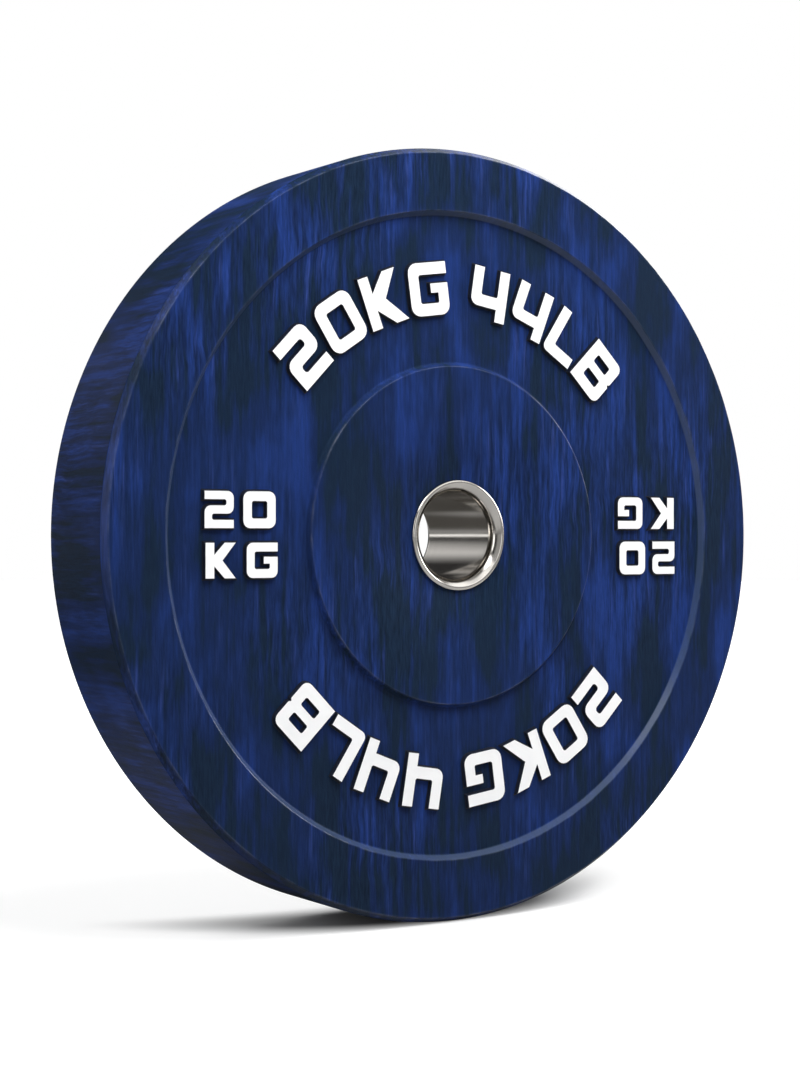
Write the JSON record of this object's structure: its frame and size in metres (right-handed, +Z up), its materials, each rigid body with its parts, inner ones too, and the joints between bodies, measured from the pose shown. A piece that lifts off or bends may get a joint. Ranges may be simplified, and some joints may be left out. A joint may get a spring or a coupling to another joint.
{
  "type": "bumper plate",
  "caption": "Thick rubber weight disc with a recessed face, a raised centre boss and a steel-lined bore for a 50 mm barbell sleeve.",
  "frame": {"origin": "middle of the bore, on the plate's middle plane", "axes": "+Y along the bore towards the rear face, with the front face toward -Y; +Z up, with the plate standing on its rim"},
  "size_m": [0.45, 0.0772, 0.45],
  "materials": {
    "rubber": "moulded rubber with a streaked blue surface, low sheen",
    "stainless": "turned and polished stainless steel",
    "mild_steel": "plain cut mild steel, hidden in the rubber",
    "weld_metal": "rippled weld, hidden in the rubber"
  },
  "bodies": {
    "root": {"rubber_body": "rubber", "hub_sleeve": "stainless", "anchor_flange": "mild_steel", "weld_bead_front": "weld_metal", "weld_bead_rear": "weld_metal"}
  },
  "joints": []
}
